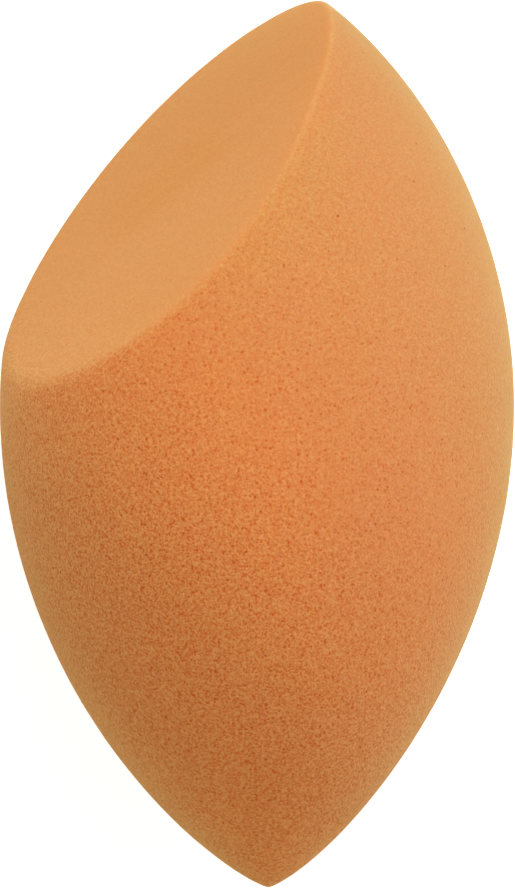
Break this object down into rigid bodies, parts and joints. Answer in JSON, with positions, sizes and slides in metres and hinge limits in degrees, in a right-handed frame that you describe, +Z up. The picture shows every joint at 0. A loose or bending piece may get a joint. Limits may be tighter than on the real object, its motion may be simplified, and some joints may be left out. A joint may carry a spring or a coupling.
{
  "type": "makeup sponge",
  "caption": "Olive-shaped foam makeup sponge with a pointed tip and a slanted flat cut, for dabbing and blending liquid foundation and concealer.",
  "frame": {"origin": "centre of the small flat on the underside of the belly, where the sponge rests when it lies on its side", "axes": "+Z up, away from the table; +Y along the body towards the cut end, seen from above; the pointed tip is towards -Y, and the slanted cut faces -X, +Y and +Z"},
  "size_m": [0.038, 0.0659, 0.0377],
  "materials": {
    "foam": "matte"
  },
  "bodies": {
    "root": {"sponge_body": "foam"}
  },
  "joints": []
}
